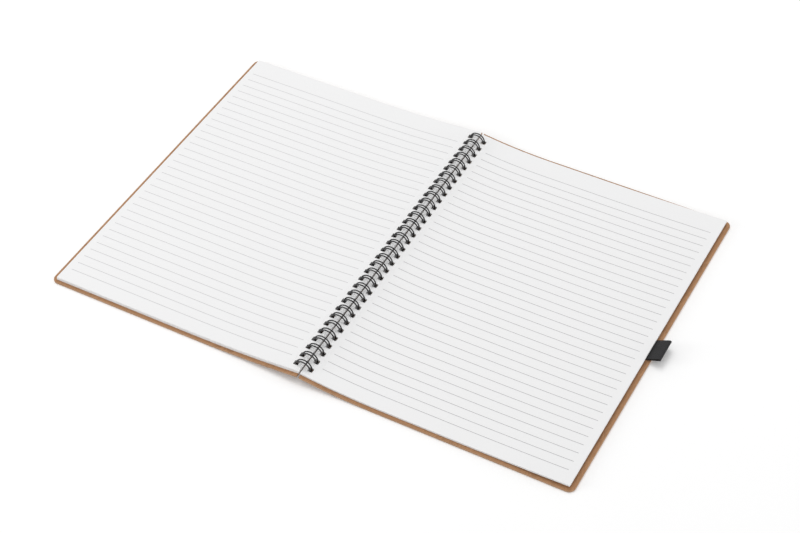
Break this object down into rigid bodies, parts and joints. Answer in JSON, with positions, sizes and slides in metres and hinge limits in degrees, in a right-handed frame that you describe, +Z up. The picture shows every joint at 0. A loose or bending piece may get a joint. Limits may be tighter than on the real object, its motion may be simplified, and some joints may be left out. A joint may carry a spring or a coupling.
{
  "type": "spiral notebook",
  "caption": "Large ruled notebook lying open, twin-loop wire down the spine, thick brown board covers that swing shut, and an elastic pen loop at the fore-edge.",
  "frame": {"origin": "on the surface that the open notebook lies on, under the middle of its overall box (the spine runs 4.3 mm to the left of it)", "axes": "+X across the pages towards the pen loop, +Y along the spine towards the head of the pages, +Z up out of the open pages"},
  "size_m": [0.4266, 0.2906, 0.0132],
  "materials": {
    "black_wire": "satin nylon coating",
    "brown_board": "matt, uncoated",
    "ruled_paper": "matt, uncoated",
    "black_elastic": "woven, matt"
  },
  "bodies": {
    "wire": {"wire_binding": "black_wire"},
    "front_half": {"front_cover": "brown_board", "turned_leaves": "ruled_paper"},
    "back_half": {"back_cover": "brown_board", "remaining_leaves": "ruled_paper", "pen_loop": "black_elastic"}
  },
  "joints": [
    {"name": "front_cover_hinge", "type": "hinge", "parent": "wire", "child": "front_half", "pos_m": [-0.00568, 0, 0.00732], "axis": [0, 1, 0], "range_deg": [-12, 91]},
    {"name": "back_cover_hinge", "type": "hinge", "parent": "wire", "child": "back_half", "pos_m": [-0.00299, 0, 0.00715], "axis": [0, -1, 0], "range_deg": [-12, 90.5]}
  ]
}
